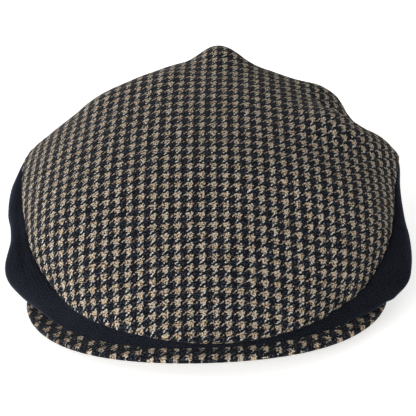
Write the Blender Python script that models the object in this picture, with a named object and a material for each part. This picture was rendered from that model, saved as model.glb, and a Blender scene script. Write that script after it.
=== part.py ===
"""A flat cap: a checked top panel, two plain side panels and a crescent peak.

Metres, +Z up. The peak points along -Y and the cap rests on its rim. Each point
lies on a ray that leaves the middle of the crown at some turn: 0 at the middle of
the front, a quarter circle at +X and half a circle at the back.
"""

import math
from collections import namedtuple

import bmesh
import bpy
import numpy as np

# Cloth
CLOTH_THICKNESS = 0.0022
PIECE_GAP = 0.0003  # left between two pieces that are sewn together

# Head opening, measured inside the rim
OPENING_LENGTH = 0.198
OPENING_WIDTH = 0.168
OPENING_SET_BACK = 0.012  # its middle, behind the middle of the crown

# Seam ring, where the top panel meets the side panels
RING_WIDTH = 0.2225
RING_WIDEST = 0.011  # where it is widest, behind the middle of the crown
RING_FRONT = 0.126  # from the middle of the crown to the front of the ring
RING_BACK = 0.124
RING_BACK_HEIGHT = 0.070
RING_FRONT_SQUARENESS = 1.9  # 2 is an ellipse
RING_BACK_SQUARENESS = 2.1
TOP_PANEL_TURN = math.radians(3.6)  # the top panel is sewn on a little askew

# Crown
CROWN_RISE = 0.0515  # above the straight line from the front seam to the back seam
FRONT_STRIP = 0.0027  # height of the side panels at the middle of the front
SIDE_FULLNESS = 0.020
SIDE_TUCK = 0.2  # how soon the side panels bulge, as a share of their height
TIGHTEST_FOLD = 0.009  # a panel this high bulges by no more than this
FOLD_DEPTH = 0.008

# Peak
PEAK_WIDTH = 0.204
PEAK_HALF_LENGTH = 0.081  # of the ellipse that its edge follows
PEAK_SHOW_FRONT = 0.008  # left bare in front of the crown
PEAK_SHOW_SIDE = 0.010
PEAK_THICKNESS = 0.0035
PEAK_ARCH = 0.0055  # height of its underside at the middle of the front edge
PEAK_SLOPE = 0.09  # rise towards the head opening
PEAK_TIP_WIDTH = 0.005
PEAK_ROLL = math.radians(2.3)  # one side of the peak hangs a little lower

# The rim leaves the peak behind its tips and comes down to the surface
RIM_LEAD = math.radians(5.0)
RIM_RAMP = math.radians(22.0)
RIM_BLEND = 20.0  # how sharply the rim turns from the peak's seat to the opening

# Each row is a section of the side panels. The seam's height is a share of the
# way from its front height to its back height, and the bulges are shares of
# SIDE_FULLNESS.
Section = namedtuple("Section", "turn_degrees seam_height low_bulge high_bulge")
SECTIONS = (
    Section(0, 0.00, 0.00, 0.00),
    Section(25, 0.00, 0.00, 0.05),
    Section(36, 0.03, 0.05, 0.15),
    Section(47, 0.11, 0.60, 0.75),
    Section(62, 0.29, 1.55, 1.25),
    Section(78, 0.49, 1.15, 1.00),
    Section(90, 0.65, 0.95, 0.80),
    Section(110, 0.78, 0.65, 0.50),
    Section(145, 0.91, 0.40, 0.35),
    Section(180, 1.00, 0.30, 0.30),
)

# The middle line of the top panel: how far back it is, as a share of the ring's
# length, and its rise as a share of CROWN_RISE.
Ridge = namedtuple("Ridge", "back rise")
RIDGE = (
    Ridge(0.000, 0.00),
    Ridge(0.035, 0.13),
    Ridge(0.100, 0.35),
    Ridge(0.215, 0.67),
    Ridge(0.350, 0.91),
    Ridge(0.470, 0.96),
    Ridge(0.630, 0.98),
    Ridge(0.770, 0.91),
    Ridge(0.860, 0.65),
    Ridge(0.940, 0.38),
    Ridge(1.000, 0.00),
)

# How the top panel arches from side to side: a higher flatness is a flatter middle,
# a higher roundness a steeper edge.
Arch = namedtuple("Arch", "back flatness roundness")
ARCHES = (
    Arch(0.00, 2.2, 1.8),
    Arch(0.30, 2.1, 1.8),
    Arch(0.60, 2.2, 1.25),
    Arch(0.85, 2.1, 1.00),
    Arch(1.00, 2.1, 1.00),
)

# A fold runs between two places, given as shares of half the ring's width and of
# its reach to the back. Its width is a share of half the ring's width, and its
# rise, which is negative for a dent, a share of FOLD_DEPTH.
Fold = namedtuple("Fold", "name side_from back_from side_to back_to width rise")
FOLDS = (
    Fold("summit pinch", 0.05, 0.66, 0.04, 0.80, 0.16, 1.25),
    Fold("rear corner", 0.58, 0.50, 0.74, 0.58, 0.12, 0.45),
    Fold("shoulder crease", 0.68, 0.34, 0.95, 0.34, 0.07, -0.45),
    Fold("shoulder swell", 0.66, 0.12, 0.95, 0.18, 0.15, 0.85),
    Fold("left slope", -0.40, 0.45, -0.75, 0.40, 0.25, -0.50),
)

# Mesh
LONGEST_REACH = 0.4  # every outline is nearer to the middle than this
HALVINGS = 40  # of that reach, to find an outline
FINE_TURNS = 721  # turns tried to find the peak's tip
COLUMNS = 112
SIDE_ROWS = 8
TOP_ROWS = 12
TOP_CROWDING = 1.8  # how much closer together the top panel's rows are at the seam
PEAK_STATIONS = 45
PEAK_ROWS = 5
PEAK_EDGE_POINTS = 3
TRUE_WALL_REACH = 0.006  # from a panel's edge to where its wall is square to it
LOWEST_SLANT = 0.5  # rise of the wall at the rim that keeps its full thickness
SHARP_ANGLE = math.radians(50.0)

CHECK_COLOUR = (0.116, 0.086, 0.062, 1.0)
NAVY_COLOUR = (0.009, 0.010, 0.016, 1.0)
CLOTH_ROUGHNESS = 0.92


def eased(share):
    """0 to 1 with level ends."""
    share = np.clip(share, 0.0, 1.0)
    return share * share * (3.0 - 2.0 * share)


def smooth_table(places, values, wanted):
    """A smooth curve through the table's values that never passes beyond them."""
    places = np.asarray(places, float)
    values = np.asarray(values, float)
    steps = np.diff(places)
    slopes = np.diff(values) / steps
    ends = np.zeros(len(places))
    same_way = slopes[1:] * slopes[:-1] > 0.0
    before, after = slopes[:-1][same_way], slopes[1:][same_way]
    ends[1:-1][same_way] = 2.0 * before * after / (before + after)
    ends[0], ends[-1] = slopes[0], slopes[-1]
    row = np.clip(np.searchsorted(places, wanted) - 1, 0, len(steps) - 1)
    share = np.clip((wanted - places[row]) / steps[row], 0.0, 1.0)
    rise = eased(share)
    lead = share * (1.0 - share) ** 2 * ends[row] * steps[row]
    trail = share**2 * (1.0 - share) * ends[row + 1] * steps[row]
    return values[row] * (1.0 - rise) + values[row + 1] * rise + lead - trail


def table_value(rows, place, column, wanted):
    """A column of a table at each wanted place."""
    places = [getattr(row, place) for row in rows]
    return smooth_table(places, [getattr(row, column) for row in rows], wanted)


def plan(turns, reach):
    return reach * np.sin(turns), -reach * np.cos(turns)


def oval_share(across, along, half_width, front, back, squareness):
    """Below 1 inside an oval whose widest place is at along = 0, above 1 outside."""
    length = np.where(along < 0.0, front, back)
    return (np.abs(across) / half_width) ** squareness + (np.abs(along) / length) ** squareness


def reach_of(turns, share):
    """How far a ray at each turn goes before share, a function of place, passes 1."""
    near, far = np.zeros_like(turns), np.full_like(turns, LONGEST_REACH)
    for _ in range(HALVINGS):
        middle = (near + far) / 2
        outside = share(*plan(turns, middle)) > 1.0
        near, far = np.where(outside, near, middle), np.where(outside, middle, far)
    return far


def opening_reach(turns, wall):
    """The head opening, or the rim's outer edge where wall is its thickness."""
    length = OPENING_LENGTH / 2 + wall

    def share(across, along):
        back = along - OPENING_SET_BACK
        return oval_share(across, back, OPENING_WIDTH / 2 + wall, length, length, 2.0)

    return reach_of(turns, share)


def peak_middle():
    """How far back the middle of the peak's ellipse lies."""
    return PEAK_HALF_LENGTH - RING_FRONT - PEAK_SHOW_FRONT


def peak_reach(turns, inset_side=0.0, inset_front=0.0):
    """The peak's edge, or a line that lies inside it."""
    length = PEAK_HALF_LENGTH - inset_front

    def share(across, along):
        back = along - peak_middle()
        return oval_share(across, back, PEAK_WIDTH / 2 - inset_side, length, length, 2.0)

    return reach_of(turns, share)


def rim_reach(turns):
    """The rim goes round the head opening, and in front round the peak's seat."""
    opening = opening_reach(turns, CLOTH_THICKNESS)
    seat = peak_reach(turns, PEAK_SHOW_SIDE, PEAK_SHOW_FRONT)
    largest = np.maximum(opening, seat)
    shares = (opening / largest) ** RIM_BLEND + (seat / largest) ** RIM_BLEND
    return largest * shares ** (1 / RIM_BLEND)


def tip_turn():
    """The turn of the peak's tips, where it is as narrow as PEAK_TIP_WIDTH."""
    turns = np.linspace(0.0, math.pi, FINE_TURNS)
    width = peak_reach(turns) - opening_reach(turns, 0.0)
    return turns[np.argmax(width < PEAK_TIP_WIDTH)]


def peak_underside(across, along):
    """Height of the peak's underside: arched from side to side, higher at the back."""
    share = np.clip(np.abs(across) / (PEAK_WIDTH / 2), 0.0, 1.0)
    arch = np.cos(share * math.pi / 2) ** 2
    front = -RING_FRONT - PEAK_SHOW_FRONT
    roll = math.tan(PEAK_ROLL) * (across + PEAK_WIDTH / 2)
    return arch * (PEAK_ARCH + PEAK_SLOPE * (along - front)) + roll


def rim_height(turns, reach):
    """The rim stands on the peak, and behind the peak's tips on the surface."""
    from_front = np.abs(np.remainder(turns + math.pi, 2 * math.pi) - math.pi)
    share = (from_front - tip_turn() - RIM_LEAD) / RIM_RAMP
    seat = peak_underside(*plan(turns, reach)) + PEAK_THICKNESS + PIECE_GAP
    return seat * (1.0 - eased(share))


def ring_squareness(along):
    return np.where(along < RING_WIDEST, RING_FRONT_SQUARENESS, RING_BACK_SQUARENESS)


def ring_reach(turns):
    """The seam ring, in the frame of the top panel."""

    def share(across, along):
        front, back = RING_FRONT + RING_WIDEST, RING_BACK - RING_WIDEST
        squareness = ring_squareness(along)
        return oval_share(across, along - RING_WIDEST, RING_WIDTH / 2, front, back, squareness)

    return reach_of(turns, share)


def ring_half_width(along):
    """Half the width of the seam ring at a place along its length."""
    front, back = RING_FRONT + RING_WIDEST, RING_BACK - RING_WIDEST
    away = along - RING_WIDEST
    share = np.abs(away) / np.where(away < 0.0, front, back)
    squareness = ring_squareness(along)
    return RING_WIDTH / 2 * np.clip(1.0 - share**squareness, 1e-9, 1.0) ** (1 / squareness)


def ring_front_height():
    seat = float(peak_underside(0.0, -RING_FRONT)) + PEAK_THICKNESS + PIECE_GAP
    return seat + FRONT_STRIP


def section_value(turns, column):
    """A column of SECTIONS at each turn, the same on the left and the right."""
    from_front = np.abs(np.remainder(turns + math.pi, 2 * math.pi) - math.pi)
    return table_value(SECTIONS, "turn_degrees", column, np.degrees(from_front))


def ring_height(turns):
    """Height of the seam ring, in the frame of the top panel."""
    front = ring_front_height()
    return front + (RING_BACK_HEIGHT - front) * section_value(turns, "seam_height")


def top_height(across, along):
    """Height of the top panel over a place in the panel's own frame."""
    half_width = ring_half_width(along)
    edge = ring_height(np.arctan2(half_width, -along))
    back = (along + RING_FRONT) / (RING_FRONT + RING_BACK)
    chord = ring_front_height() * (1.0 - back) + RING_BACK_HEIGHT * back
    ridge = chord + CROWN_RISE * table_value(RIDGE, "back", "rise", back)
    flatness = table_value(ARCHES, "back", "flatness", back)
    roundness = table_value(ARCHES, "back", "roundness", back)
    share = np.clip(np.abs(across) / half_width, 0.0, 1.0)
    dome = (1.0 - share**flatness) ** (1 / roundness)
    return edge + (ridge - edge) * dome


def bulge(turns, column, height):
    """How far a panel bulges; less where it is too low to fold over so far."""
    wanted = SIDE_FULLNESS * section_value(turns, column)
    most = height**2 / TIGHTEST_FOLD
    return wanted / (1.0 + (wanted / most) ** 4) ** 0.25


def side_rows(turns):
    """Rows of the side panels from the rim to the seam ring: a curve for each turn."""
    rim_out = rim_reach(turns)
    rim_up = rim_height(turns, rim_out)
    seam_out = ring_reach(turns - TOP_PANEL_TURN)
    seam_up = ring_height(turns - TOP_PANEL_TURN)
    height = seam_up - rim_up
    low_out = rim_out + bulge(turns, "low_bulge", height)
    high_out = seam_out + bulge(turns, "high_bulge", height)
    share = np.linspace(0.0, 1.0, SIDE_ROWS + 1)[:, None]
    weights = (1 - share) ** 3, 3 * share * (1 - share) ** 2, 3 * share**2 * (1 - share), share**3
    outs = rim_out, low_out, high_out, seam_out
    ups = rim_up, rim_up + SIDE_TUCK * height, seam_up - SIDE_TUCK * height, seam_up
    out = sum(weight * value for weight, value in zip(weights, outs))
    up = sum(weight * value for weight, value in zip(weights, ups))
    return np.stack([*plan(turns, out), up], axis=-1)


def top_rows(turns):
    """Rows of the top panel from just inside the seam ring to the middle."""
    share = 1.0 - (np.arange(1, TOP_ROWS) / TOP_ROWS) ** TOP_CROWDING
    share = np.append(share, 0.0)[:, None]
    across, along = plan(turns - TOP_PANEL_TURN, share * ring_reach(turns - TOP_PANEL_TURN))
    up = top_height(across, along)
    across, along = plan(turns, share * ring_reach(turns - TOP_PANEL_TURN))
    return np.stack([across, along, up], axis=-1)


def outward(surface):
    """Unit normals of a surface made of closed rings."""
    round_it = np.roll(surface, -1, axis=1) - np.roll(surface, 1, axis=1)
    up_it = np.gradient(surface, axis=0)
    normals = np.cross(round_it, up_it)
    normals[-1] = (0.0, 0.0, 1.0)
    return normals / np.linalg.norm(normals, axis=-1, keepdims=True)


def fold_rise(surface):
    """How far the folds lift each point of the surface."""
    rise = np.zeros(surface.shape[:2])
    scale = np.array([RING_WIDTH / 2, RING_BACK])
    for fold in FOLDS:
        start = np.array([fold.side_from, fold.back_from]) * scale
        run = np.array([fold.side_to, fold.back_to]) * scale - start
        share = np.clip((surface[..., :2] - start) @ run / (run @ run), 0.0, 1.0)
        away = np.linalg.norm(surface[..., :2] - start - share[..., None] * run, axis=-1)
        width = fold.width * RING_WIDTH / 2
        rise += fold.rise * FOLD_DEPTH * np.exp(-((away / width) ** 2))
    return rise


def crown_outside(turns):
    """The crown's outer surface: rim first, the seam ring at row SIDE_ROWS."""
    surface = np.concatenate([side_rows(turns), top_rows(turns)])
    rows = np.arange(len(surface))[:, None]
    kept = eased(rows / SIDE_ROWS) * fold_rise(surface)
    surface += kept[..., None] * outward(surface)
    surface[-1] = surface[-1].mean(axis=0)
    return surface


def crown_inside(outside, turns):
    """The outer surface moved in by the cloth's thickness."""
    walls = outward(outside)
    level = np.stack([np.sin(turns), -np.cos(turns), np.zeros_like(turns)], axis=-1)
    panel = outside[: SIDE_ROWS + 1]
    steps = np.linalg.norm(np.diff(panel, axis=0), axis=-1)
    from_rim = np.concatenate([np.zeros((1, len(turns))), np.cumsum(steps, axis=0)])
    from_edge = np.minimum(from_rim, from_rim[-1] - from_rim)
    share = from_rim / from_rim[-1]
    between = level * (1.0 - share[..., None]) + walls[SIDE_ROWS] * share[..., None]
    true = eased(from_edge / TRUE_WALL_REACH)[..., None]
    blended = walls[: SIDE_ROWS + 1] * true + between * (1.0 - true)
    walls[: SIDE_ROWS + 1] = blended / np.linalg.norm(blended, axis=-1, keepdims=True)
    slant = np.clip((panel[1] - panel[0])[:, 2] / steps[0], LOWEST_SLANT, 1.0)
    walls[0] /= slant[:, None]
    inside = outside - CLOTH_THICKNESS * walls
    inner_reach = np.linalg.norm(inside[0, :, :2], axis=-1)
    inside[0, :, 2] = rim_height(turns, inner_reach)
    return inside


def swept_solid(name, sections, closed):
    """Joins each closed section to the next; the first and last are capped if open."""
    count, points = sections.shape[:2]
    mesh = bmesh.new()
    corners = [[mesh.verts.new(point) for point in section] for section in sections]
    for station in range(count if closed else count - 1):
        here, there = corners[station], corners[(station + 1) % count]
        for point in range(points):
            after = (point + 1) % points
            mesh.faces.new((here[point], here[after], there[after], there[point]))
    if not closed:
        mesh.faces.new(corners[0])
        mesh.faces.new(corners[-1])
    bmesh.ops.remove_doubles(mesh, verts=mesh.verts, dist=1e-6)
    bmesh.ops.recalc_face_normals(mesh, faces=mesh.faces)
    bmesh.ops.triangulate(mesh, faces=mesh.faces)
    data = bpy.data.meshes.new(name)
    mesh.to_mesh(data)
    mesh.free()
    data.shade_smooth()
    data.set_sharp_from_angle(angle=SHARP_ANGLE)
    made = bpy.data.objects.new(name, data)
    bpy.context.scene.collection.objects.link(made)
    return made


def cloth(name, colour):
    material = bpy.data.materials.new(name)
    material.use_nodes = True
    shader = material.node_tree.nodes["Principled BSDF"]
    shader.inputs["Base Color"].default_value = colour
    shader.inputs["Roughness"].default_value = CLOTH_ROUGHNESS
    shader.inputs["Metallic"].default_value = 0.0
    return material


def along_wall(outside, start, end):
    """Half a gap, from row start of the crown towards row end."""
    way = outside[end] - outside[start]
    return way / np.linalg.norm(way, axis=-1, keepdims=True) * PIECE_GAP / 2


def crown_top(outside, inside):
    """The top panel, from the seam ring up."""
    shift = along_wall(outside, SIDE_ROWS, SIDE_ROWS + 1)
    outer, inner = outside[SIDE_ROWS:].copy(), inside[SIDE_ROWS:].copy()
    outer[0] += shift
    inner[0] += shift
    sections = np.concatenate([outer[::-1], inner]).swapaxes(0, 1)
    return swept_solid("crown_top", sections, closed=True)


def side_panel(name, outside, inside, columns, side):
    """One side panel, from the middle of the front to the middle of the back."""
    shift = along_wall(outside, SIDE_ROWS, SIDE_ROWS - 1)
    outer, inner = outside[: SIDE_ROWS + 1].copy(), inside[: SIDE_ROWS + 1].copy()
    outer[-1] += shift
    inner[-1] += shift
    sections = np.concatenate([outer, inner[::-1]]).swapaxes(0, 1)[columns].copy()
    sections[[0, -1], :, 0] = side * PIECE_GAP / 2
    return swept_solid(name, sections, closed=False)


def peak():
    """The crescent: a section along each ray, with a rounded front edge."""
    tip = tip_turn()
    turns = np.linspace(-tip, tip, PEAK_STATIONS)[:, None]
    inner, outer = opening_reach(turns, 0.0), peak_reach(turns)
    round_off = PEAK_THICKNESS / 2
    flat = inner + (outer - round_off - inner) * np.linspace(0.0, 1.0, PEAK_ROWS)
    angles = np.linspace(-90, 90, PEAK_EDGE_POINTS + 2)[1:-1] * math.pi / 180
    edge = outer - round_off + round_off * np.cos(angles)
    reach = np.concatenate([flat, edge, flat[:, ::-1]], axis=1)
    lift = round_off * np.concatenate([-np.ones(PEAK_ROWS), np.sin(angles), np.ones(PEAK_ROWS)])
    across, along = plan(turns, reach)
    up = peak_underside(*plan(turns, np.minimum(reach, outer - round_off)))
    sections = np.stack([across, along, up + round_off + lift], axis=-1)
    return swept_solid("peak", sections, closed=False)


def stand_on_origin(pieces):
    """Puts the middle of the cap's underside at the origin, by way of a parent."""
    corners = np.array([corner.co for piece in pieces for corner in piece.data.vertices])
    low, high = corners.min(axis=0), corners.max(axis=0)
    cap = bpy.data.objects.new("flat_cap", None)
    cap.location = (-(low[0] + high[0]) / 2, -(low[1] + high[1]) / 2, -low[2])
    bpy.context.scene.collection.objects.link(cap)
    for piece in pieces:
        piece.parent = cap


def main():
    for existing in list(bpy.data.objects):
        bpy.data.objects.remove(existing)
    turns = np.arange(COLUMNS) * 2 * math.pi / COLUMNS
    outside = crown_outside(turns)
    inside = crown_inside(outside, turns)
    half = COLUMNS // 2
    right = np.arange(0, half + 1)
    left = np.arange(half, COLUMNS + 1) % COLUMNS
    top = crown_top(outside, inside)
    side_right = side_panel("side_panel_right", outside, inside, right, 1)
    side_left = side_panel("side_panel_left", outside, inside, left, -1)
    front = peak()
    check = cloth("check_cloth", CHECK_COLOUR)
    navy = cloth("navy_cloth", NAVY_COLOUR)
    for piece, material in ((top, check), (side_right, navy), (side_left, navy), (front, check)):
        piece.data.materials.append(material)
    stand_on_origin((top, side_right, side_left, front))


main()
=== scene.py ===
"""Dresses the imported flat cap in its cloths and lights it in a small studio.

The cap has a checked woollen top panel and peak over plain navy twill sides. All
is in metres with +Z up and the peak along -Y. Left and right are the viewer's. The
shapes are worked out in the crown's own frame, whose middle is the middle of the
crown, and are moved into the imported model's frame as they become meshes.
"""

import logging
import math
from collections.abc import Callable
from dataclasses import dataclass
from enum import Enum
from functools import partial
from typing import NamedTuple

import bmesh
import bpy
import numpy as np
import numpy.typing as npt
from bpy.types import Material, Node, NodeSocket, Object
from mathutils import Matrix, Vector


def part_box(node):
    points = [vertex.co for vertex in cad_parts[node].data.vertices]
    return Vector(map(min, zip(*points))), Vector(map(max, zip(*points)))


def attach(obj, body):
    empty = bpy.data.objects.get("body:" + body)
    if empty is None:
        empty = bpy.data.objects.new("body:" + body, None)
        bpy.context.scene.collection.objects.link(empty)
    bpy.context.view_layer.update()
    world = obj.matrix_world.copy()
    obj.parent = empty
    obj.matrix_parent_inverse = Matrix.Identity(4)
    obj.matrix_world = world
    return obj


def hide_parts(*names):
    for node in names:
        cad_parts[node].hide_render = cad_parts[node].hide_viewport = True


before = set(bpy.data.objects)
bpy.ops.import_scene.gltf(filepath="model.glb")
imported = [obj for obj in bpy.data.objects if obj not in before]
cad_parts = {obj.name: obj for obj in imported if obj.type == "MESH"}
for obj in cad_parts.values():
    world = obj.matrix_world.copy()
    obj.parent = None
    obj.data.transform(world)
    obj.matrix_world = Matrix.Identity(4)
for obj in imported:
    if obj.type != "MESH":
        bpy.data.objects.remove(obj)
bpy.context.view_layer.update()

Grid = npt.NDArray[np.float64]
log = logging.getLogger("flat_cap")

CLOTH_UV = "cloth"
PICTURE_SIDE = 416
FARTHEST_REACH = 0.4
HALVINGS = 40
TIP_STEPS = 721
MERGE_DISTANCE = 1e-6
NEARLY_NONE = 1e-9


class Fold(NamedTuple):
    """A soft ridge, or a dent where its height is negative, along a straight line."""

    name: str
    start: tuple[float, float]
    end: tuple[float, float]
    width: float
    height: float


class SideSection(NamedTuple):
    """The side panels at one turn: seam height and bulges, as shares."""

    turn_degrees: float
    seam_height: float
    low_bulge: float
    high_bulge: float


class EdgeShift(NamedTuple):
    """How far the seam and the side stand out at one turn, right of the front being +."""

    turn_degrees: float
    seam: float
    side: float


class RidgePoint(NamedTuple):
    """A point of the top panel's middle line, as shares of its length and rise."""

    back: float
    rise: float


class Arch(NamedTuple):
    """How the top panel arches from side to side at one place along its length."""

    back: float
    flatness: float
    roundness: float


def table(kind: type, *rows: tuple) -> tuple:
    """A table of rows with the columns that their kind names."""
    return tuple(kind(*row) for row in rows)


def eased(share: Grid) -> Grid:
    """Goes from 0 to 1 with level ends: three times the square less twice the cube."""
    share = np.clip(share, 0.0, 1.0)
    return share * share * (3.0 - 2.0 * share)


def read_table(rows: tuple, column: str, wanted: Grid) -> Grid:
    """A smooth curve through a table's column that never passes beyond its values.

    Each stretch is a cubic whose slope at a row is the harmonic mean of the slopes
    on both sides, and level where they differ in sign.

    Args:
        rows: The table, whose first column says where its rows are, rising.
        column: The column that is read.
        wanted: Where the curve is read.

    Returns:
        The curve's values there.
    """
    at = np.array([row[0] for row in rows], float)
    value = np.array([getattr(row, column) for row in rows])
    steps = np.diff(at)
    slopes = np.diff(value) / steps
    ends = np.zeros(len(at))
    same_way = slopes[1:] * slopes[:-1] > 0.0
    before, after = slopes[:-1][same_way], slopes[1:][same_way]
    ends[1:-1][same_way] = 2.0 * before * after / (before + after)
    ends[0], ends[-1] = slopes[0], slopes[-1]
    row = np.clip(np.searchsorted(at, wanted) - 1, 0, len(steps) - 1)
    share = np.clip((wanted - at[row]) / steps[row], 0.0, 1.0)
    rise = eased(share)
    lead = share * (1.0 - share) ** 2 * ends[row] * steps[row]
    trail = share**2 * (1.0 - share) * ends[row + 1] * steps[row]
    return value[row] * (1.0 - rise) + value[row + 1] * rise + lead - trail


def plan(turns: Grid, reach: Grid) -> tuple[Grid, Grid]:
    """Across and along of points at a turn from the front and a reach."""
    return reach * np.sin(turns), -reach * np.cos(turns)


def from_front(turns: Grid) -> Grid:
    """Turns from the middle of the front, from minus to plus half a turn."""
    return np.remainder(turns + math.pi, 2 * math.pi) - math.pi


def reach_of(turns: Grid, share: Callable[[Grid, Grid], Grid]) -> Grid:
    """How far a ray at each turn goes before a share of place passes 1.

    Args:
        turns: The turns of the rays.
        share: Below 1 inside an outline and above 1 outside it.

    Returns:
        The reach of the outline, found by halving.
    """
    near, far = np.zeros_like(turns), np.full_like(turns, FARTHEST_REACH)
    for _ in range(HALVINGS):
        middle = (near + far) / 2
        outside = share(*plan(turns, middle)) > 1.0
        near, far = np.where(outside, near, middle), np.where(outside, middle, far)
    return far


def unit(vectors: Grid) -> Grid:
    """The same directions with length 1."""
    return vectors / np.linalg.norm(vectors, axis=-1, keepdims=True)


def run_length(surface: Grid, axis: int) -> Grid:
    """Arc length along one axis of a grid of points, from its first row or column."""
    steps = np.linalg.norm(np.diff(surface, axis=axis), axis=-1)
    start = np.zeros_like(np.take(steps, [0], axis=axis))
    return np.concatenate([start, np.cumsum(steps, axis=axis)], axis=axis)


def outward(surface: Grid, ends_in_pole: bool = True) -> Grid:
    """Unit normals of rows that are closed rings, from differences on both sides.

    Args:
        surface: The rows.
        ends_in_pole: Whether the last row is one point, whose normal is then up.

    Returns:
        The normal at each point.
    """
    round_it = np.roll(surface, -1, axis=1) - np.roll(surface, 1, axis=1)
    normals = np.cross(round_it, np.gradient(surface, axis=0))
    if ends_in_pole:
        normals[-1] = (0.0, 0.0, 1.0)
    return unit(normals)


def fold_height(places: Grid, folds: tuple[Fold, ...]) -> Grid:
    """How far folds lift each place: bell curves of the distance to their lines.

    Args:
        places: Points whose first two columns are across and along.
        folds: The folds.

    Returns:
        The sum of the folds' heights.
    """
    total = np.zeros(places.shape[:-1])
    for fold in folds:
        run = np.subtract(fold.end, fold.start)
        from_start = places[..., :2] - fold.start
        share = np.clip(from_start @ run / (run @ run), 0.0, 1.0)
        away = np.linalg.norm(from_start - share[..., None] * run, axis=-1)
        total += fold.height * np.exp(-((away / fold.width) ** 2))
    return total


@dataclass(frozen=True)
class HeadOpening:
    """The ellipse that the rim leaves open for the head."""

    length: float = 0.198
    width: float = 0.168
    set_back: float = 0.012

    def reach(self, turns: Grid, wall: float) -> Grid:
        """The opening's edge, or the rim's outer edge where a wall is added."""
        wide, long = self.width / 2 + wall, self.length / 2 + wall
        return reach_of(turns, lambda x, y: (x / wide) ** 2 + ((y - self.set_back) / long) ** 2)


@dataclass(frozen=True)
class SeamRing:
    """The closed line where the top panel is sewn to the side panels."""

    width: float = 0.2225
    widest: float = 0.011
    front: float = 0.126
    back: float = 0.124
    back_height: float = 0.07
    front_squareness: float = 1.9
    back_squareness: float = 2.1

    def _oval(self, along: Grid) -> tuple[Grid, Grid]:
        """How far along its half of the ring a place is, and the power of that half."""
        away = along - self.widest
        length = np.where(away < 0.0, self.front + self.widest, self.back - self.widest)
        square = np.where(away < 0.0, self.front_squareness, self.back_squareness)
        return np.abs(away) / length, square

    def _share(self, across: Grid, along: Grid) -> Grid:
        """Below 1 inside the ring: two half ovals that meet at its widest place."""
        share, square = self._oval(along)
        return (np.abs(across) / (self.width / 2)) ** square + share**square

    def reach(self, turns: Grid) -> Grid:
        """The ring's reach at each turn."""
        return reach_of(turns, self._share)

    def half_width(self, along: Grid) -> Grid:
        """Half the ring's width at a place along it, from the same ovals."""
        share, square = self._oval(along)
        return self.width / 2 * np.clip(1.0 - share**square, NEARLY_NONE, 1.0) ** (1 / square)


@dataclass(frozen=True)
class PeakForm:
    """The crescent peak: an arched shell that follows one end of an ellipse."""

    width: float = 0.204
    half_length: float = 0.081
    front: float = -0.134
    show_front: float = 0.008
    show_side: float = 0.01
    thickness: float = 0.0035
    arch: float = 0.0055
    slope: float = 0.09
    tip_width: float = 0.005
    roll: float = math.radians(2.3)

    def reach(self, turns: Grid, inset_side: float = 0.0, inset_front: float = 0.0) -> Grid:
        """The peak's edge, or a line inside it.

        Args:
            turns: The turns of the rays.
            inset_side: How far inside at the sides.
            inset_front: How far inside at the front.

        Returns:
            The reach at each turn.
        """
        wide, long = self.width / 2 - inset_side, self.half_length - inset_front
        middle = self.front + self.half_length
        return reach_of(turns, lambda x, y: (x / wide) ** 2 + ((y - middle) / long) ** 2)

    def tip_turn(self, opening: HeadOpening) -> float:
        """The turn where the peak has narrowed to its tip width."""
        turns = np.linspace(0.0, math.pi, TIP_STEPS)
        width = self.reach(turns) - opening.reach(turns, 0.0)
        return float(turns[np.argmax(width < self.tip_width)])

    def underside(self, across: Grid, along: Grid) -> Grid:
        """Height of the underside: a squared cosine from side to side, plus a roll.

        Args:
            across: Across, in the crown's frame.
            along: Along, in the crown's frame.

        Returns:
            The height of each place.
        """
        share = np.clip(np.abs(across) / (self.width / 2), 0.0, 1.0)
        arch = np.cos(share * math.pi / 2) ** 2
        lift = math.tan(self.roll) * (across + self.width / 2)
        return arch * (self.arch + self.slope * (along - self.front)) + lift


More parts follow.
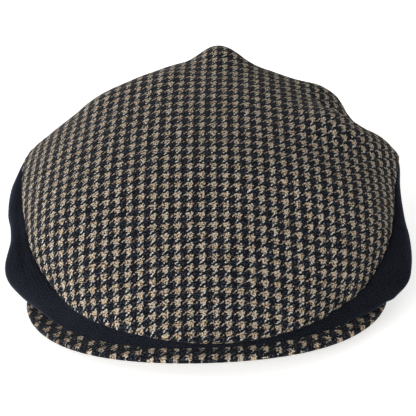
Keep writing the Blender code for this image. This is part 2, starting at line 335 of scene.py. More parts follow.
@dataclass(frozen=True)
class Crown:
    """The outer surface of the crown, from the rim over the seam ring to the middle.

    A row number counts up the wall: 0 is the rim, seam_row the seam ring and
    middle_row the middle of the top panel. Any share of a row may be read.
    """

    opening: HeadOpening = HeadOpening()
    ring: SeamRing = SeamRing()
    peak: PeakForm = PeakForm()
    wall: float = 0.0022
    gap: float = 0.0003
    front_strip: float = 0.0027
    rise: float = 0.0515
    panel_turn: float = math.radians(3.6)
    fullness: float = 0.02
    bulge_power: int = 4
    tuck: float = 0.2
    tightest_fold: float = 0.009
    rim_blend: int = 20
    rim_lead: float = math.radians(5.0)
    rim_ramp: float = math.radians(22.0)
    seam_row: int = 8
    middle_row: int = 20
    crowding: float = 1.8
    sections: tuple[SideSection, ...] = table(
        SideSection,
        (0, 0.0, 0.0, 0.0), (25, 0.0, 0.0, 0.05), (36, 0.03, 0.05, 0.15), (47, 0.11, 0.6, 0.75),
        (62, 0.29, 1.55, 1.25), (78, 0.49, 1.15, 1.0), (90, 0.65, 0.95, 0.8),
        (110, 0.78, 0.65, 0.5), (145, 0.91, 0.4, 0.35), (180, 1.0, 0.3, 0.3),
    )
    ridge: tuple[RidgePoint, ...] = table(
        RidgePoint,
        (0.0, 0.0), (0.035, 0.13), (0.1, 0.35), (0.215, 0.67), (0.35, 0.91), (0.47, 0.96),
        (0.63, 0.98), (0.77, 0.91), (0.86, 0.65), (0.94, 0.38), (1.0, 0.0),
    )
    arches: tuple[Arch, ...] = table(
        Arch,
        (0.0, 2.2, 1.8), (0.3, 2.1, 1.8), (0.6, 2.2, 1.25), (0.85, 2.1, 1.0), (1.0, 2.1, 1.0),
    )
    shifts: tuple[EdgeShift, ...] = table(
        EdgeShift,
        (-180, 0.0, 0.0), (-110, 0.0, 0.0), (-97, -0.0006, 0.001), (-90, -0.0013, 0.0036),
        (-81, -0.001, 0.0026), (-76, -0.0005, -0.001), (-70, 0.0003, -0.0036),
        (-63, 0.0017, -0.001), (-56, 0.0028, -0.0034), (-45, 0.0029, -0.0033),
        (-34, 0.0038, 0.0), (-24, 0.0018, 0.0), (-10, 0.0, 0.0), (11, -0.0006, 0.0),
        (26, -0.0013, 0.0), (38, -0.0018, 0.002), (47, 0.0005, 0.0055), (56, 0.0008, 0.005),
        (65, 0.0015, 0.0014), (74, 0.0006, 0.0026), (81, 0.0003, 0.0), (90, -0.0004, -0.0017),
        (100, -0.0005, -0.0052), (112, 0.0, 0.0), (180, 0.0, 0.0),
    )
    folds: tuple[Fold, ...] = table(
        Fold,
        ("summit pinch", (0.0056, 0.0818), (0.0045, 0.0992), 0.0178, 0.0106),
        ("summit left flank", (-0.016, 0.076), (-0.009, 0.08), 0.007, -0.0016),
        ("summit right flank", (0.025, 0.0765), (0.031, 0.075), 0.007, -0.001),
        ("rear corner", (0.0645, 0.062), (0.0815, 0.0719), 0.0134, 0.0036),
        ("rear corner tip", (0.07, 0.069), (0.0755, 0.07), 0.0088, 0.0024),
        ("behind the shoulder", (0.093, 0.068), (0.1, 0.06), 0.009, -0.0028),
        ("shoulder crease", (0.0757, 0.0422), (0.1057, 0.0422), 0.0078, -0.0036),
        ("shoulder swell", (0.0734, 0.0149), (0.1057, 0.0223), 0.0167, 0.0068),
        ("shoulder start", (0.089, 0.03), (0.093, 0.023), 0.008, -0.0018),
        ("shoulder edge", (0.104, 0.035), (0.109, 0.032), 0.008, 0.001),
        ("shoulder nick", (0.081, 0.014), (0.09, 0.021), 0.0035, -0.0014),
        ("left slope", (-0.044, 0.075), (-0.0834, 0.06), 0.025, -0.0066),
        ("left brow", (-0.028, 0.052), (-0.066, 0.04), 0.016, 0.0038),
        ("left slope notch", (-0.052, 0.072), (-0.047, 0.072), 0.006, -0.0012),
        ("left corner", (-0.106, 0.037), (-0.096, 0.063), 0.012, -0.0014),
    )

    def _section(self, turns: Grid, column: str) -> Grid:
        """A column of the sections at each turn, the same on both sides."""
        return read_table(self.sections, column, np.degrees(np.abs(from_front(turns))))

    def _shift(self, turns: Grid, column: str) -> Grid:
        """A column of the shifts at each turn."""
        return read_table(self.shifts, column, np.degrees(from_front(turns)))

    def _seat(self, across: Grid, along: Grid) -> Grid:
        """Height of the peak's upper side, plus the gap of a sewn seam."""
        return self.peak.underside(across, along) + self.peak.thickness + self.gap

    def front_height(self) -> float:
        """Height of the seam at the middle of the front: the strip over the peak."""
        return float(self._seat(0.0, -self.ring.front)) + self.front_strip

    def _ring_height(self, turns: Grid) -> Grid:
        """Height of the seam ring in the top panel's own frame."""
        low, high = self.front_height(), self.ring.back_height
        return low + (high - low) * self._section(turns, "seam_height")

    def top_height(self, across: Grid, along: Grid) -> Grid:
        """Height of the top panel in its own frame.

        From the ring's height at the same place along, it rises to the ridge by one
        less the share of the half width to a power, and that to another power.

        Args:
            across: Across, in the panel's frame.
            along: Along, in the panel's frame.

        Returns:
            The height of each place.
        """
        half_width = self.ring.half_width(along)
        edge = self._ring_height(np.arctan2(half_width, -along))
        back = (along + self.ring.front) / (self.ring.front + self.ring.back)
        chord = self.front_height() * (1.0 - back) + self.ring.back_height * back
        ridge = chord + self.rise * read_table(self.ridge, "rise", back)
        flatness = read_table(self.arches, "flatness", back)
        roundness = read_table(self.arches, "roundness", back)
        share = np.clip(np.abs(across) / half_width, 0.0, 1.0)
        return edge + (ridge - edge) * (1.0 - share**flatness) ** (1 / roundness)

    def rim_reach(self, turns: Grid) -> Grid:
        """The larger of the opening's outer edge and the peak's seat, blended.

        Args:
            turns: The turns of the rays.

        Returns:
            The root of the sum of their high powers.
        """
        opening = self.opening.reach(turns, self.wall)
        seat = self.peak.reach(turns, self.peak.show_side, self.peak.show_front)
        largest, power = np.maximum(opening, seat), self.rim_blend
        return largest * ((opening / largest) ** power + (seat / largest) ** power) ** (1 / power)

    def rim_height(self, turns: Grid, reach: Grid) -> Grid:
        """The rim stands on the peak and behind its tips comes down to the floor."""
        share = np.abs(from_front(turns)) - self.peak.tip_turn(self.opening) - self.rim_lead
        return self._seat(*plan(turns, reach)) * (1.0 - eased(share / self.rim_ramp))

    def _bulge(self, turns: Grid, column: str, height: Grid) -> Grid:
        """How far the side bulges, less where it is too low to fold over so far."""
        wanted, power = self.fullness * self._section(turns, column), self.bulge_power
        tightness = wanted * self.tightest_fold / height**2
        return wanted / (1.0 + tightness**power) ** (1 / power)

    def _plain(self, turns: Grid, rows: Grid) -> Grid:
        """The surface without folds.

        The side is a cubic Bezier curve from rim to ring at each turn, and the top
        is its height over rays that shrink from the ring to the middle. The shifts
        move the ring and the side outwards and leave the heights as they are.

        Args:
            turns: The turns of the columns.
            rows: The row numbers.

        Returns:
            A grid of points, rows by turns.
        """
        rim_out, plain_out = self.rim_reach(turns), self.ring.reach(turns - self.panel_turn)
        seam_out, side = plain_out + self._shift(turns, "seam"), self._shift(turns, "side")
        rim_up = self.rim_height(turns, rim_out)
        seam_up = self._ring_height(turns - self.panel_turn)
        height = seam_up - rim_up
        low_out = rim_out + self._bulge(turns, "low_bulge", height) + side
        high_out = plain_out + self._bulge(turns, "high_bulge", height) + side
        low_up, high_up = rim_up + self.tuck * height, seam_up - self.tuck * height
        share = np.clip(rows / self.seam_row, 0.0, 1.0)[:, None]
        rest = 1 - share
        weights = rest**3, 3 * share * rest**2, 3 * share**2 * rest, share**3
        out = sum(w * v for w, v in zip(weights, (rim_out, low_out, high_out, seam_out)))
        up = sum(w * v for w, v in zip(weights, (rim_up, low_up, high_up, seam_up)))
        inwards = np.clip((rows - self.seam_row) / (self.middle_row - self.seam_row), 0.0, 1.0)
        top_share = 1.0 - inwards[:, None] ** self.crowding
        top = self.top_height(*plan(turns - self.panel_turn, top_share * plain_out))
        on_top = (rows > self.seam_row)[:, None]
        reach = np.where(on_top, top_share * seam_out, out)
        return np.stack([*plan(turns, reach), np.where(on_top, top, up)], axis=-1)

    def surface(self, turns: Grid, rows: Grid) -> Grid:
        """The outer surface with its folds.

        The folds lift the whole-numbered rows along their normals, and the rows
        between share those lifts by a smooth curve through four rows.

        Args:
            turns: The turns of the columns, all the way round.
            rows: The row numbers wanted.

        Returns:
            A grid of points, rows by turns.
        """
        whole = np.arange(self.middle_row + 1, dtype=float)
        plain = self._plain(turns, whole)
        kept = eased(whole / self.seam_row)[:, None] * fold_height(plain, self.folds)
        lift = kept[..., None] * outward(plain)
        lift[-1] = lift[-1].mean(axis=0)
        below = np.clip(np.floor(rows).astype(int), 0, self.middle_row - 1)
        share = (rows - below)[:, None, None]
        near = [lift[np.clip(below + step, 0, self.middle_row)] for step in (-1, 0, 1, 2)]
        smooth = near[1] + share / 2 * (
            near[2] - near[0]
            + share * (2 * near[0] - 5 * near[1] + 4 * near[2] - near[3])
            + share**2 * (3 * (near[1] - near[2]) + near[3] - near[0])
        )
        return self._plain(turns, rows) + smooth

    def place_in_model(self) -> Grid:
        """The way from the crown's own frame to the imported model's."""
        low, high = (np.array(corner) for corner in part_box("peak"))
        return np.array([(low[0] + high[0]) / 2, low[1] - self.peak.front, 0.0])


def add_object(name: str, data: bpy.types.ID) -> Object:
    """A new object at the origin, in the scene."""
    new = bpy.data.objects.new(name, data)
    bpy.context.scene.collection.objects.link(new)
    return new


def make_piece(name: str, sections: Grid, cloth: Grid, closed: bool, place: Grid) -> Object:
    """Skins a row of closed sections into one closed mesh.

    Args:
        name: The piece's name.
        sections: Points, sections by points round a section by three.
        cloth: Where each point lies on the flat cloth, in metres.
        closed: Whether the last section joins the first. If not, both are capped.
        place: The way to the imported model's frame.

    Returns:
        The new object.
    """
    count, points = sections.shape[:2]
    index = np.arange(count * points).reshape(count, points)
    here = index if closed else index[:-1]
    there = np.roll(index, -1, axis=0) if closed else index[1:]
    quads = np.stack([here, np.roll(here, -1, axis=1), np.roll(there, -1, axis=1), there], axis=-1)
    faces = quads.reshape(-1, 4).tolist()
    if not closed:
        faces += [index[0, ::-1].tolist(), index[-1].tolist()]
    data = bpy.data.meshes.new(name)
    data.from_pydata((sections + place).reshape(-1, 3).tolist(), [], faces)
    corners = np.empty(len(data.loops), dtype=np.int32)
    data.loops.foreach_get("vertex_index", corners)
    layer = data.uv_layers.new(name=CLOTH_UV)
    layer.uv.foreach_set("vector", cloth.reshape(-1, 2)[corners].astype(np.float32).ravel())
    mesh = bmesh.new()
    mesh.from_mesh(data)
    bmesh.ops.remove_doubles(mesh, verts=mesh.verts, dist=MERGE_DISTANCE)
    bmesh.ops.recalc_face_normals(mesh, faces=mesh.faces)
    mesh.to_mesh(data)
    mesh.free()
    data.shade_smooth()
    return add_object(name, data)


def dress(piece: Object, node: str, finish: Material) -> None:
    """Lets a piece stand for its CAD node and gives it its cloth.

    Args:
        piece: The piece.
        node: The CAD node that it stands for.
        finish: Its material.
    """
    piece.data.materials.append(finish)
    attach(piece, "root")
    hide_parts(node)
    log.info("%s: %d faces for %s", piece.name, len(piece.data.polygons), node)


@dataclass(frozen=True)
class TopPanel:
    """The checked top panel: one domed cloth with its edge turned under."""

    crown: Crown
    columns: int = 420
    outer_rows: int = 96
    inner_rows: int = 40
    row_crowding: float = 0.85
    pole_rows: int = 3
    roll_points: int = 6
    roll_radius: float = 0.0008
    roll_turn: float = math.radians(165.0)
    proud: float = 0.0007
    proud_reach: float = 0.005
    puckers: int = 61
    pucker_height: float = 0.00035
    pucker_reach: float = 0.012
    pucker_drifts: int = 7
    pucker_drift: float = 1.7
    pucker_swells: int = 11
    pucker_swell: float = 0.4
    corner_reach: float = 0.03
    bend_unit: float = 0.1
    gather: float = 0.0047
    column_lean: float = 0.0007
    column_bow: float = 0.0015
    row_skew: float = 0.0027
    back_skew: float = 0.02
    row_sweep: float = 0.031
    line_points: int = 500
    # How far the middle line runs on beyond its ends, in the plan and on the cloth.
    front_run_on: tuple[float, float] = (0.02, 0.026)
    back_run_on: tuple[float, float] = (0.03, 0.038)
    # Share of the middle line from the front, and how wide the cloth spreads there.
    spread: tuple[tuple[float, float], ...] = (
        (0.0, 1.12), (0.12, 1.06), (0.2, 1.04), (0.27, 1.02), (0.34, 0.96),
        (0.42, 0.88), (0.5, 0.84), (0.6, 0.89), (0.7, 0.94), (1.0, 0.95),
    )

    def _middle_line(self) -> tuple[Grid, Grid]:
        """The middle line's places along, and on the cloth: its arc length, spread."""
        line = np.linspace(-self.crown.ring.front, self.crown.ring.back, self.line_points)
        height = self.crown.top_height(np.zeros_like(line), line)
        share = np.linspace(0.0, 1.0, self.line_points - 1)
        steps = np.hypot(np.diff(line), np.diff(height)) * np.interp(share, *zip(*self.spread))
        length = np.concatenate([[0.0], np.cumsum(steps)])
        (before, cloth_before), (behind, cloth_behind) = self.front_run_on, self.back_run_on
        line = np.concatenate([[line[0] - before], line, [line[-1] + behind]])
        return line, np.concatenate([[-cloth_before], length, [length[-1] + cloth_behind]])

    def on_cloth(self, places: Grid) -> Grid:
        """Where points of the panel lie on the flat cloth.

        With a and b the places across and along over the bend unit, a column is the
        place across, gathered at the sides by the fifth power of a, with a lean by b
        and a bow by b squared. A row is read off the middle line, skewed by a, more
        behind the middle by b squared, and swept by b times the fourth power of a.

        Args:
            places: Points in the crown's frame.

        Returns:
            Across and along on the cloth, in metres.
        """
        across, along = places[..., 0], places[..., 1]
        a, b = across / self.bend_unit, along / self.bend_unit
        skew = self.row_skew + self.back_skew * np.maximum(b, 0.0) ** 2
        bend = skew * a - self.row_sweep * b * a**4
        row = np.interp(along - bend, *self._middle_line())
        column = across + self.gather * a**5 + self.column_lean * b - self.column_bow * b**2
        return np.stack([column, row], axis=-1)

    def _run_on(self, turns: Grid, outer: Grid) -> Grid:
        """How much farther out the cloth runs on than the plan at its steep corners.

        It is the arc length less the plan's, added up outwards near the seam, times
        the squared sine of twice the turn: the middle line and the gathered sides
        have theirs already.

        Args:
            turns: The turns of the columns.
            outer: The outer wall, from the seam inwards.

        Returns:
            The extra length at each point.
        """
        length = run_length(outer, 0)
        steep = np.diff(length, axis=0) - np.diff(run_length(outer[..., :2], 0), axis=0)
        near = eased(1.0 - length[1:] / self.corner_reach)
        from_middle = np.cumsum((steep * near)[::-1], axis=0)[::-1]
        return np.concatenate([from_middle, np.zeros((1, len(turns)))]) * np.sin(2 * turns) ** 2

    def _puckers(self, turns: Grid) -> Grid:
        """A sine round the seam whose place drifts and whose height swells."""
        drift = self.pucker_drift * np.sin(turns * self.pucker_drifts)
        swell = self.pucker_swell * np.sin(turns * self.pucker_swells + 1.0)
        return np.sin(turns * self.puckers + drift) * (1.0 - self.pucker_swell + swell)

    def build(self, finish: Material) -> None:
        """Makes the panel: outer wall, rolled edge and inner wall in one mesh.

        Args:
            finish: The cloth.
        """
        crown = self.crown
        turns = np.arange(self.columns) * 2 * math.pi / self.columns
        share = np.linspace(0.0, 1.0, self.outer_rows + 1) ** self.row_crowding
        outer = crown.surface(turns, crown.seam_row + (crown.middle_row - crown.seam_row) * share)
        normals = outward(outer)
        normals[0] = normals[1]
        normals[-self.pole_rows :] = normals[-self.pole_rows :].mean(axis=1, keepdims=True)
        from_seam = run_length(outer, 0)
        lift = self.proud * np.exp(-((from_seam / self.proud_reach) ** 2))
        pucker = self.pucker_height * self._puckers(turns)
        lift += pucker * np.exp(-((from_seam / self.pucker_reach) ** 2))
        inner = outer - crown.wall * normals
        outer = outer + lift[..., None] * normals
        up, out = unit(outer[2] - outer[0]), normals[0]
        angle = np.linspace(0.0, self.roll_turn, self.roll_points + 1)[1:, None, None]
        centre = outer[0] + up * self.roll_radius - out * self.roll_radius
        roll = centre + self.roll_radius * (np.cos(angle) * out - np.sin(angle) * up)
        outer[0] = centre + out * self.roll_radius
        inner_rows = np.linspace(2, self.outer_rows, self.inner_rows).round().astype(int)
        level = np.stack([np.sin(turns), -np.cos(turns)], axis=-1)
        run_on = self._run_on(turns, outer)[..., None] * level
        cloth = self.on_cloth(outer) + run_on
        roll_cloth = cloth[0] + level * self.roll_radius * angle
        inner_cloth = self.on_cloth(inner[inner_rows]) + run_on[inner_rows]
        sections = np.concatenate([outer[::-1], roll, inner[inner_rows]]).swapaxes(0, 1)
        flat = np.concatenate([cloth[::-1], roll_cloth, inner_cloth]).swapaxes(0, 1)
        piece = make_piece("top_panel", sections, flat, True, crown.place_in_model())
        dress(piece, "crown_top", finish)


class Side(Enum):
    """Which side panel, seen from the front."""

    LEFT = "left"
    RIGHT = "right"


@dataclass(frozen=True)
class SidePanel:
    """One navy side panel, from the middle of the front to the middle of the back."""

    crown: Crown
    side: Side
    columns: int = 230
    end_crowding: float = 0.75
    outer_rows: int = 44
    inner_rows: int = 20
    hem_radius: float = 0.0009
    seam_radius: float = 0.0004
    hem_share: float = 0.3
    seam_tuck: float = 0.0013
    level_tuck: float = 1.3
    groove_depth: float = 0.0007
    groove_width: float = 0.0011
    folds: tuple[Fold, ...] = table(
        Fold,
        ("left dent above", (-0.1115, 0.004), (-0.1085, -0.03), 0.002, -0.001),
        ("left dent below", (-0.1075, -0.036), (-0.1, -0.066), 0.002, -0.001),
        ("right ridge above", (0.1125, -0.03), (0.11, -0.052), 0.0025, 0.0009),
        ("right ridge below", (0.1095, -0.056), (0.101, -0.077), 0.0025, 0.0009),
    )

    def build(self, finish: Material) -> None:
        """Makes the panel with rounded hems at the rim and at the seam.

        Args:
            finish: The cloth.
        """
        crown = self.crown
        even = np.linspace(0.0, 2 * math.pi, self.columns + 1)
        half = (even - self.end_crowding * np.sin(even)) / 2
        turns = np.concatenate([half, 2 * math.pi - half[-2:0:-1]])
        rows = crown.seam_row * np.linspace(0.0, 1.0, self.outer_rows + 1)
        outer = crown.surface(turns, rows)
        normals = outward(outer, ends_in_pole=False)
        picked = np.arange(self.columns + 1)
        if self.side is Side.LEFT:
            picked = np.append(np.arange(self.columns, len(turns)), 0)
        outer, normals = outer[:, picked], normals[:, picked]
        up_it = run_length(outer, 0)
        height = up_it[-1]
        # The upper edge goes on under the top panel's rolled one, farther where level.
        way = unit(outer[-1] - outer[-2])
        tuck = self.seam_tuck * (self.level_tuck - way[:, 2:]) * way
        inner = outer - crown.wall * normals
        outer = outer + fold_height(outer, self.folds)[..., None] * normals
        for edge, widest in ((up_it, self.hem_radius), (height - up_it, self.seam_radius)):
            radius = np.minimum(widest, self.hem_share * height)
            inset = np.clip(1.0 - edge / radius, 0.0, 1.0)
            outer = outer - (radius * (1.0 - np.sqrt(1.0 - inset**2)))[..., None] * normals
        end_at = run_length(outer, 1)
        # A shallow groove where the two side panels meet.
        from_end = np.minimum(end_at, end_at[:, -1:] - end_at)
        groove = self.groove_depth * np.exp(-((from_end / self.groove_width) ** 2))
        outer = outer - groove[..., None] * normals
        inner_reach = np.linalg.norm(inner[0, :, :2], axis=-1)
        inner[0, :, 2] = crown.rim_height(turns[picked], inner_reach)
        outer[0, :, 2] = np.maximum(outer[0, :, 2], inner[0, :, 2])
        outer[-1] += tuck
        inner[-1] += tuck
        inner_rows = np.linspace(0, self.outer_rows, self.inner_rows + 1).round().astype(int)
        middle = end_at[self.outer_rows // 2]
        cloth = np.stack([np.broadcast_to(middle, up_it.shape), up_it], axis=-1)
        sections = np.concatenate([outer, inner[inner_rows][::-1]]).swapaxes(0, 1).copy()
        flat = np.concatenate([cloth, cloth[inner_rows][::-1]]).swapaxes(0, 1)
        sections[[0, -1], :, 0] = 0.0
        name = f"side_{self.side.value}"
        piece = make_piece(name, sections, flat, False, crown.place_in_model())
        dress(piece, f"side_panel_{self.side.value}", finish)


@dataclass(frozen=True)
class Peak:
    """The stiff crescent peak, covered in the check, with a rounded edge."""

    crown: Crown
    stations: int = 200
    flat_points: int = 16
    edge_points: int = 9
    cloth_from: tuple[float, float] = (-0.0023, 0.0014)
    cloth_share: float = 0.85
    # Its check takes more dark fuzz and so is darker: painted shade under the crown's overhang.
    fuzz_creep_and_painted_shade: float = 0.8

    def build(self, finish: Material) -> None:
        """Makes the peak as a section along each ray, with a half circle for its edge.

        Args:
            finish: The cloth.
        """
        form = self.crown.peak
        tip = form.tip_turn(self.crown.opening)
        turns = np.linspace(-tip, tip, self.stations)[:, None]
        inner, outer = self.crown.opening.reach(turns, 0.0), form.reach(turns)
        radius = form.thickness / 2
        flat = inner + (outer - radius - inner) * np.linspace(0.0, 1.0, self.flat_points)
        quarter = np.full(self.flat_points, math.pi / 2)
        rounding = np.radians(np.linspace(-90, 90, self.edge_points + 2)[1:-1])
        edge = outer - radius + radius * np.cos(rounding)
        reach = np.concatenate([flat, edge, flat[:, ::-1]], axis=1)
        angle = np.concatenate([-quarter, rounding, quarter])
        across, along = plan(turns, reach)
        up = form.underside(*plan(turns, np.minimum(reach, outer - radius)))
        sections = np.stack([across, along, up + radius + radius * np.sin(angle)], axis=-1)
        over = radius * (math.pi / 2 - np.abs(angle))
        flat_reach = outer + self.cloth_share * (np.minimum(reach, outer - radius) + over - outer)
        cloth = np.stack(plan(turns, flat_reach), axis=-1) + self.cloth_from
        piece = make_piece("peak_cover", sections, cloth, False, self.crown.place_in_model())
        dress(piece, "peak", finish)


Stops = tuple[tuple[float, str], ...]


def linear(code: str) -> tuple[float, float, float, float]:
    """The linear colour of an sRGB hex code, with full alpha."""
    values = [int(code[start : start + 2], 16) / 255 for start in (1, 3, 5)]
    red, green, blue = (v / 12.92 if v <= 0.04045 else ((v + 0.055) / 1.055) ** 2.4 for v in values)
    return red, green, blue, 1.0


def fill(node: Node, inputs: dict | tuple) -> None:
    """Fills inputs, by name or in their order, with values or links from sockets."""
    for key, value in inputs.items() if isinstance(inputs, dict) else enumerate(inputs):
        if isinstance(value, NodeSocket):
            node.id_data.links.new(value, node.inputs[key])
        else:
            node.inputs[key].default_value = value


def add_node(
    tree: bpy.types.NodeTree, kind: str, inputs: dict | tuple = (), **settings: object
) -> bpy.types.bpy_prop_collection:
    """Adds a node with its settings and fills its inputs.

    Args:
        tree: The node tree.
        kind: The node's type, without its leading ShaderNode.
        inputs: Values or sockets, by the input's name or in the inputs' order.
        settings: Properties of the node.

    Returns:
        The node's outputs.
    """
    node = tree.nodes.new("ShaderNode" + kind)
    for name, value in settings.items():
        setattr(node, name, value)
    fill(node, inputs)
    return node.outputs


def new_material(name: str) -> tuple[Material, Callable, Node]:
    """An empty material, what adds nodes to it, and its shader, wired to the output."""
    material = bpy.data.materials.new(name)
    material.use_nodes = True
    tree = material.node_tree
    return material, partial(add_node, tree), tree.nodes["Principled BSDF"]


def set_ramp(ramp: bpy.types.ColorRamp, stops: Stops) -> None:
    """Gives a colour ramp its stops.

    Args:
        ramp: The ramp.
        stops: For each stop a place and an sRGB hex code.
    """
    while len(ramp.elements) < len(stops):
        ramp.elements.new(0.5)
    for element, (place, code) in zip(ramp.elements, stops):
        element.position = place
        element.color = linear(code)


@dataclass(frozen=True)
class Cloth:
    """What both wools share: a matt surface, a soft nap and the relief of a weave."""

    roughness: float = 0.95
    specular: float = 0.04
    sheen: float = 0.24
    sheen_roughness: float = 0.4
    sheen_tint: str = "#8e8c88"
    relief: float = 0.7
    relief_depth: float = 0.0002
    fibre_share: float = 0.35
    contrast: float = 2.4
    tone_start: float = -0.85
    patchiness: float = 0.3

    def _tone(self, add: Callable, rough: NodeSocket, fine: NodeSocket, patch: NodeSocket) -> tuple:
        """Blends a rough and a fine pattern and spreads them, shifted by patches.

        Args:
            add: What adds nodes to the material.
            rough: The rough pattern.
            fine: The fine pattern.
            patch: The patches.

        Returns:
            The blend, and the tone from 0 to 1.
        """
        blend = {"Factor": self.fibre_share, "A": rough, "B": fine}
        blend = add("Mix", blend, data_type="FLOAT")[0]
        tone = (blend, self.contrast, self.tone_start)
        tone = (patch, self.patchiness, add("Math", tone, operation="MULTIPLY_ADD")[0])
        return blend, add("Math", tone, operation="MULTIPLY_ADD", use_clamp=True)[0]

    def _finish(self, add: Callable, shader: Node, colour: dict, height: NodeSocket) -> None:
        """Gives the shader its mix of two colours, the weave's relief and the nap."""
        bump = {"Height": height, "Strength": self.relief, "Distance": self.relief_depth}
        fill(shader, {
            "Base Color": add("Mix", colour, data_type="RGBA")["Result"],
            "Normal": add("Bump", bump)[0],
            "Roughness": self.roughness,
            "Specular IOR Level": self.specular,
            "Sheen Weight": self.sheen,
            "Sheen Roughness": self.sheen_roughness,
            "Sheen Tint": linear(self.sheen_tint),
        })


@dataclass(frozen=True)
class HoundstoothWool(Cloth):
    """Woollen houndstooth tweed, woven 2/2 twill of four dark and four light yarns.

    The twill gives the broken check its slanting ticks. Light on light is tan and
    rust with cream flecks, and the light warp over the dark weft shows as cream
    slants. Dark fuzz creeps over the light yarns and thins the ticks. The peak's
    copy gets more of it as painted shade, darker than the top panel.
    """

    thread: float = 0.0008125
    # Where the check starts, plus eighty repeats, so that no place falls below 0.
    phase: tuple[float, float, float] = (0.5251, 0.5224, 0.0)
    wander: float = 0.00056
    slant_start: float = -1.9
    squareness: float = 1.6
    hair: float = 4.0
    fuzz_creep_and_painted_shade: float = 0.31
    weft_creep: float = 0.17
    light_edge: tuple[float, float] = (-0.4, 1.9)
    warp_edge: tuple[float, float] = (0.4, 1.6)
    # Noise cells per metre. The yarns wander over two of their widths. The real
    # flecks are half a millimetre, drawn at 1 mm to show, with fibres half as wide,
    # and patches of 6 mm are lighter or darker.
    wander_scale: float = 620.0
    fleck_scale: float = 1000.0
    fibre_scale: float = 2100.0
    patch_scale: float = 170.0
    fleck_relief: float = 2.0
    tan: Stops = (
        (0.2, "#222225"), (0.34, "#4e4a48"), (0.46, "#8c6d4a"),
        (0.56, "#b8a281"), (0.66, "#cfc9be"), (0.8, "#6c6b6e"),
    )
    cream: Stops = ((0.25, "#353535"), (0.48, "#82807b"), (0.7, "#cfcdc6"))
    dark: Stops = ((0.35, "#0c0d11"), (0.58, "#15171c"), (0.8, "#3b3f48"))

    def build(self) -> Material:
        """Makes the material from the cloth's UV map, which is in metres.

        With a and b the light (+1) or dark (-1) of the warp and weft yarns and t the
        twill's wave across the slant, a place is light where a + b + (a - b) t, less
        what the fuzz takes where a and b differ, is above 1.
        """
        material, add, shader = new_material("houndstooth wool tweed, woven")
        flat = add("UVMap", uv_map=CLOTH_UV)[0]
        placed = add("VectorMath", (flat, self.phase), operation="ADD")[0]
        noise = {"Vector": placed, "Scale": self.wander_scale, "Detail": 2.0}
        shake = (add("TexNoise", noise)["Color"], (-0.5,) * 3)
        moved = (add("VectorMath", shake, operation="ADD")[0], (self.wander,) * 3, placed)
        moved = add("VectorMath", moved, operation="MULTIPLY_ADD")[0]
        per_thread = (1 / self.thread,) * 3
        threads = wave = add("VectorMath", (moved, per_thread), operation="MULTIPLY")[0]
        # Yarn colours: a sine that turns over every four yarns, cut off square.
        for operation, by in (
            ("MULTIPLY", math.pi / 4), ("SINE", 0.0), ("MULTIPLY", self.squareness),
            ("MINIMUM", 1.0), ("MAXIMUM", -1.0),
        ):
            wave = add("VectorMath", (wave, (by,) * 3), operation=operation)[0]
        warp, weft, _ = add("SeparateXYZ", (wave,))
        figure = add("Math", (warp, weft), operation="ADD")[0]
        differ = add("Math", (warp, weft), operation="SUBTRACT")[0]
        mixed = add("Math", (differ,), operation="ABSOLUTE")[0]
        # Two over, two under, stepping one yarn to the side in each row.
        twill, along, _ = add("SeparateXYZ", (threads,))
        for operation, by in (
            ("SUBTRACT", along), ("ADD", self.slant_start),
            ("MULTIPLY", math.pi / 2), ("SINE", 0.0),
        ):
            twill = add("Math", (twill, by), operation=operation)[0]
        fleck, patch = (
            add("TexNoise", {"Vector": placed, "Scale": scale, "Detail": 1.0})[0]
            for scale in (self.fleck_scale, self.patch_scale)
        )
        fibre = {"Vector": placed, "Scale": self.fibre_scale, "Detail": 2.0, "Roughness": 0.6}
        fibre = add("TexNoise", fibre)[0]
        loose = add("Math", (fleck, -0.5), operation="ADD")[0]
        for value, weight in (
            (differ, twill), (loose, self.hair), (mixed, -self.fuzz_creep_and_painted_shade), (differ, self.weft_creep),
        ):
            figure = add("Math", (value, weight, figure), operation="MULTIPLY_ADD")[0]
        is_light, is_warp = (
            add("MapRange", (value, low, high), interpolation_type="SMOOTHSTEP")[0]
            for value, (low, high) in ((figure, self.light_edge), (differ, self.warp_edge))
        )
        _, tone = self._tone(add, fleck, fibre, patch)
        colours = []
        for stops in (self.tan, self.cream, self.dark):
            colours.append(add("ValToRGB", (tone,))[0])
            set_ramp(colours[-1].node.color_ramp, stops)
        tan, cream, dark = colours
        light = add("Mix", {"Factor": is_warp, "A": tan, "B": cream}, data_type="RGBA")["Result"]
        # Each yarn is round where it lies on top: half a sine across its width.
        within = add("VectorMath", (threads,), operation="FRACTION")[0]
        across, along, _ = add("SeparateXYZ", (within,))
        on_top = add("Math", (twill, 0.0), operation="GREATER_THAN")[0]
        side = add("Mix", {"Factor": on_top, "A": along, "B": across}, data_type="FLOAT")[0]
        for operation, by in (("MULTIPLY", math.pi), ("SINE", 0.0)):
            side = add("Math", (side, by), operation=operation)[0]
        height = add("Math", (fleck, self.fleck_relief, side), operation="MULTIPLY_ADD")[0]
        self._finish(add, shader, {"Factor": is_light, "A": dark, "B": light}, height)
        return material


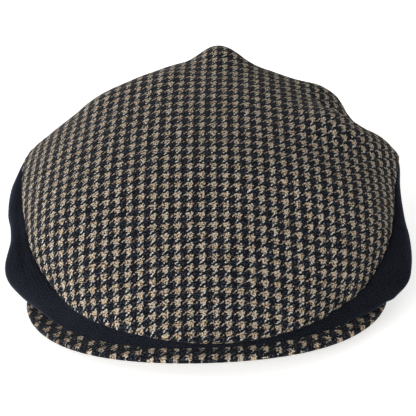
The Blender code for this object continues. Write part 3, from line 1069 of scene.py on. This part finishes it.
@dataclass(frozen=True)
class NavyTwill(Cloth):
    """Brushed navy wool twill: nearly black, with a fine slanting line and a soft nap.

    The twill line, 0.9 mm apart in the real cloth, is drawn at 1.1 mm to show, and
    the nap's fibres at 0.8 mm.
    """

    roughness: float = 0.9
    sheen: float = 0.6
    sheen_roughness: float = 0.3
    sheen_tint: str = "#868fa8"
    relief: float = 0.4
    line: float = 0.0011
    slant: float = math.radians(-45.0)
    wave_scale: float = 0.32
    fibre_scale: float = 1300.0
    patch_scale: float = 90.0
    fibre_share: float = 0.93
    contrast: float = 5.0
    tone_start: float = -2.2
    patchiness: float = 0.5
    deep: str = "#050609"
    raised: str = "#1d2028"

    def build(self) -> Material:
        """Makes the material from the cloth's UV map, which is in metres."""
        material, add, shader = new_material("navy wool twill, brushed")
        flat = add("UVMap", uv_map=CLOTH_UV)[0]
        scale = (1 / (self.line * math.sqrt(2.0)),) * 3
        turned = {"Vector": flat, "Rotation": (0.0, 0.0, self.slant), "Scale": scale}
        wave = {"Vector": add("Mapping", turned)[0], "Scale": self.wave_scale, "Distortion": 5.0}
        wave = add("TexWave", {**wave, "Detail": 3.0, "Detail Scale": 1.5})["Fac"]
        fibre = {"Vector": flat, "Scale": self.fibre_scale, "Detail": 2.0, "Roughness": 0.6}
        patch = {"Vector": flat, "Scale": self.patch_scale, "Detail": 3.0}
        fibre, patch = add("TexNoise", fibre)[0], add("TexNoise", patch)[0]
        blend, tone = self._tone(add, wave, fibre, patch)
        colour = {"Factor": tone, "A": linear(self.deep), "B": linear(self.raised)}
        self._finish(add, shader, colour, blend)
        return material


@dataclass(frozen=True)
class StudioPaper:
    """Matt pale paper on a light table, faintly uneven, so that its white has no edge."""

    tone: str = "#fdfdfc"
    shade: str = "#fafaf9"
    roughness: float = 0.95
    glow: float = 0.56

    def build(self) -> Material:
        """Makes the material on Object coordinates."""
        material, add, shader = new_material("studio paper, matt")
        noise = {"Vector": add("TexCoord")["Object"], "Scale": 3.0, "Detail": 2.0}
        noise = add("TexNoise", noise)[0]
        colour = {"Factor": noise, "A": linear(self.tone), "B": linear(self.shade)}
        fill(shader, {
            "Base Color": add("Mix", colour, data_type="RGBA")["Result"],
            "Roughness": self.roughness,
            "Emission Color": linear(self.tone),
            "Emission Strength": self.glow,
        })
        return material


class SoftBox(NamedTuple):
    """A square studio light: where it stands, its side and its power."""

    name: str
    place: tuple[float, float, float]
    side: float
    power: float


@dataclass(frozen=True)
class Studio:
    """The pale floor, the soft boxes and the camera at the photograph's angle."""

    camera_place: tuple[float, float, float] = (0.0077, -0.5964, 0.3138)
    camera_drop: float = math.radians(65.0)
    camera_yaw: float = math.radians(0.8)
    focal_pixels: float = 1100.0
    floor_side: float = 8.0
    floor_cells: int = 8
    aim_height: float = 0.05
    sensor_width: float = 36.0
    nearest: float = 0.01
    world_strength: float = 0.5
    boxes: tuple[SoftBox, ...] = (
        SoftBox("key_left_front", (-4.2, -5.7, 1.65), 4.0, 560.0),
        SoftBox("edge_left", (-5.6, 0.8, 0.7), 2.0, 60.0),
    )

    def build(self) -> None:
        """Makes the floor, the world, the lights and the camera."""
        self._floor()
        world = bpy.data.worlds.new("studio air")
        world.use_nodes = True
        air = {"Color": linear("#ffffff"), "Strength": self.world_strength}
        fill(world.node_tree.nodes["Background"], air)
        bpy.context.scene.world = world
        for box in self.boxes:
            self._light(box)
        self._camera()
        view = bpy.context.scene.view_settings
        view.view_transform = "Standard"
        view.look = "None"

    def _floor(self) -> None:
        """A flat square grid of paper at the height that the cap rests on."""
        cells, half = self.floor_cells, self.floor_side / 2
        mesh = bmesh.new()
        bmesh.ops.create_grid(mesh, x_segments=cells, y_segments=cells, size=half)
        data = bpy.data.meshes.new("floor")
        mesh.to_mesh(data)
        mesh.free()
        data.materials.append(StudioPaper().build())
        add_object("floor", data)

    def _light(self, box: SoftBox) -> None:
        """A square area light that faces the middle of the cap.

        Args:
            box: The light's place, side and power.
        """
        data = bpy.data.lights.new(box.name, "AREA")
        data.shape, data.size, data.energy = "SQUARE", box.side, box.power
        lamp = add_object(box.name, data)
        away = np.array(box.place) - np.array([0.0, 0.0, self.aim_height])
        turn = math.atan2(away[1], away[0]) + math.pi / 2
        lamp.location = box.place
        lamp.rotation_euler = (math.atan2(math.hypot(away[0], away[1]), away[2]), 0.0, turn)

    def _camera(self) -> None:
        """The camera, whose lens follows from its focal length in pixels."""
        data = bpy.data.cameras.new("camera")
        data.sensor_width = self.sensor_width
        data.lens = self.focal_pixels * data.sensor_width / PICTURE_SIDE
        data.clip_start = self.nearest
        camera = add_object("camera", data)
        camera.location = self.camera_place
        camera.rotation_euler = (self.camera_drop, 0.0, self.camera_yaw)
        bpy.context.scene.camera = camera


def main() -> None:
    """Builds the cap and the studio in order; the imported parts stay, hidden."""
    logging.basicConfig(level=logging.INFO, format="%(name)s: %(message)s")
    crown = Crown()
    check = HoundstoothWool().build()
    navy = NavyTwill().build()
    TopPanel(crown).build(check)
    for side in Side:
        SidePanel(crown, side).build(navy)
    peak = Peak(crown)
    # The peak's check is a darker copy of the top panel's: painted shade under the crown's
    # overhang.
    peak.build(HoundstoothWool(fuzz_creep_and_painted_shade=peak.fuzz_creep_and_painted_shade).build())
    Studio().build()


if __name__ == "__main__":
    main()
